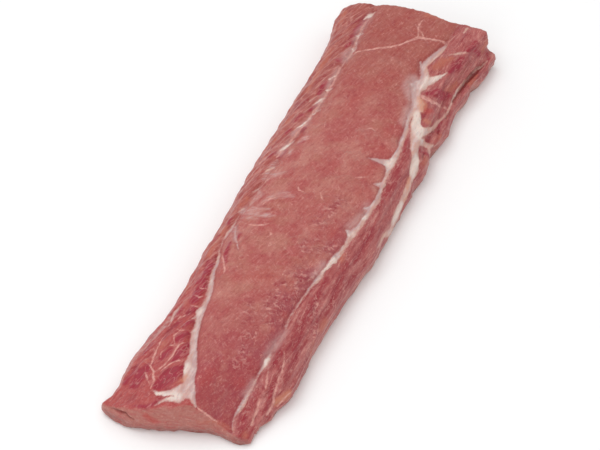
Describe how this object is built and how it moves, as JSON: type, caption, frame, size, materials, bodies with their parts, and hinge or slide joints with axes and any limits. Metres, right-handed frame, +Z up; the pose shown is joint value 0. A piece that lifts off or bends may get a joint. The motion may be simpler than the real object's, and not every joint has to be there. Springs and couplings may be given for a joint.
{
  "type": "boneless pork loin",
  "caption": "Whole boneless raw pork loin lying flat with its boned side up, with silverskin seams along the top and a cut face at each end, for butcher and kitchen scenes.",
  "frame": {"origin": "on the table under the middle of the loin's outline", "axes": "+Y along the loin from the near cut to the far cut, +X across it towards the strap and the flap, +Z up"},
  "size_m": [0.1692, 0.5826, 0.0514],
  "materials": {
    "meat": "satin"
  },
  "bodies": {
    "root": {"pork_loin": "meat"}
  },
  "joints": []
}
